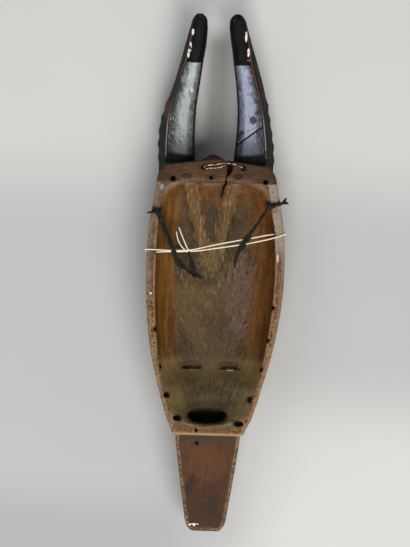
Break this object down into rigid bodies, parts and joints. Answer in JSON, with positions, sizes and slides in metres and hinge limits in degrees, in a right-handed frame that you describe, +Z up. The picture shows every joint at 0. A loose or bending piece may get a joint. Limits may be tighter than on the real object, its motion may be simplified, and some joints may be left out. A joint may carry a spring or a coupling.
{
  "type": "zamble mask",
  "caption": "Carved wooden zamble mask with antelope horns and toothed jaws, lying on its face with the hollow up, tied with black strips and white string.",
  "frame": {"origin": "middle of the bounding box's underside: the ground under the mask as it lies on its nose and the roots of its horns, hollow up", "axes": "+X to the right as seen from behind (into the hollow), +Y along the mask from the jaws to the horns, +Z up, out of the hollow"},
  "size_m": [0.1565, 0.5759, 0.0799],
  "materials": {
    "carved_wood": "hand-carved hardwood, brown patina inside and on the rim, black and silver paint on the horns, worn edges",
    "cotton_string": "matt two-ply cotton",
    "black_cloth": "matt black cloth strip, slightly green, frayed ends",
    "copper_wire": "dull copper",
    "bright_pin": "worn bright"
  },
  "bodies": {
    "root": {"mask": "carved_wood", "hanging_string": "cotton_string", "tie_left": "black_cloth", "tie_right": "black_cloth", "repair_wire": "copper_wire", "rim_pin": "bright_pin"}
  },
  "joints": []
}
